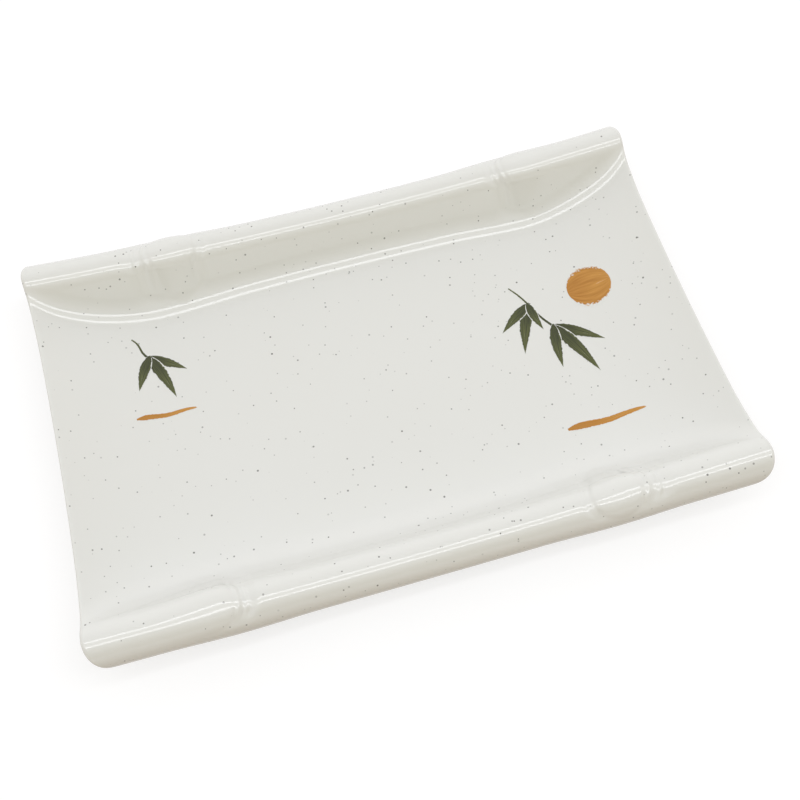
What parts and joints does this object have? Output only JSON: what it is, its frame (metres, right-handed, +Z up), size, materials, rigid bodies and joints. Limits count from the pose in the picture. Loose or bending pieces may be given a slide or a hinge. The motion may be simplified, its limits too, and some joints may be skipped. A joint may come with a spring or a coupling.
{
  "type": "rectangular sushi plate",
  "caption": "Rectangular glazed serving plate with bamboo-shaped rims along its long sides, upturned ends, a foot ring and printed leaf sprigs on its floor.",
  "frame": {"origin": "under the middle of the foot ring, on the surface that the plate stands on", "axes": "+X along the bamboo rims, +Y across the plate towards its far rim, +Z up"},
  "size_m": [0.2698, 0.18, 0.029],
  "materials": {
    "melamine": "clear gloss glaze over speckled off-white",
    "leaf_print": "dark olive ink under the gloss glaze",
    "ochre_print": "ochre ink under the gloss glaze"
  },
  "bodies": {
    "root": {"plate_body": "melamine", "right_leaf_print": "leaf_print", "right_sun_print": "ochre_print", "right_stroke_print": "ochre_print", "left_leaf_print": "leaf_print", "left_stroke_print": "ochre_print"}
  },
  "joints": []
}
